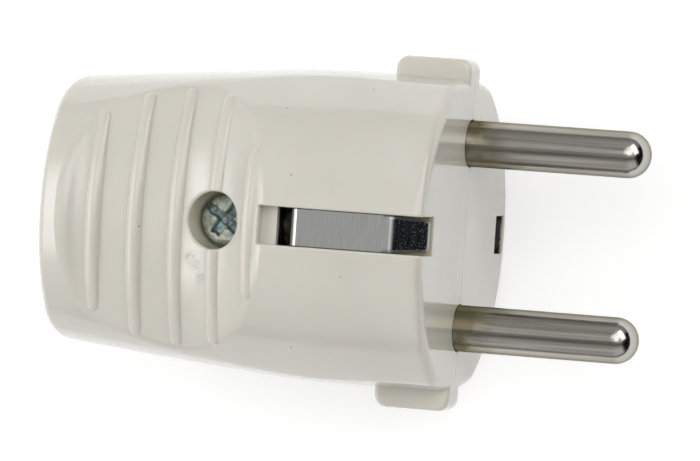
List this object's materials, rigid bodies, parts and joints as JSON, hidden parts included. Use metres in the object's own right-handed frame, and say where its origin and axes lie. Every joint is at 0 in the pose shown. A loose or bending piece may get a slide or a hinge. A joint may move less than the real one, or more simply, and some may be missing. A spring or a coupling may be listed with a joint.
{
  "type": "type F plug",
  "caption": "Rewireable two-pin earthed mains plug with two moulded half shells, ribbed grips, solid pins and a bent earth contact.",
  "frame": {"origin": "middle of the front face, on the plane where the two half shells meet", "axes": "+X the way the pins point, +Y from pin to pin, +Z the way the upper earth contact faces, which is up as the plug lies"},
  "size_m": [0.061, 0.0362, 0.0336],
  "materials": {
    "shell_plastic": "glossy warm light grey moulding",
    "pin_metal": "bright nickel plating",
    "contact_metal": "rolled plated strip",
    "terminal_brass": "machined",
    "screw_zinc": "zinc plated",
    "clamp_plastic": "moulded"
  },
  "bodies": {
    "root": {"upper_shell": "shell_plastic", "lower_shell": "shell_plastic", "line_pin": "pin_metal", "neutral_pin": "pin_metal", "line_pressure_plate": "contact_metal", "neutral_pressure_plate": "contact_metal", "line_terminal_screw": "screw_zinc", "neutral_terminal_screw": "screw_zinc", "earth_strap": "contact_metal", "earth_terminal": "terminal_brass", "earth_terminal_screw": "screw_zinc", "housing_screw": "screw_zinc", "housing_nut": "screw_zinc", "cord_clamp": "clamp_plastic", "cord_clamp_screw_left": "screw_zinc", "cord_clamp_screw_right": "screw_zinc"}
  },
  "joints": []
}
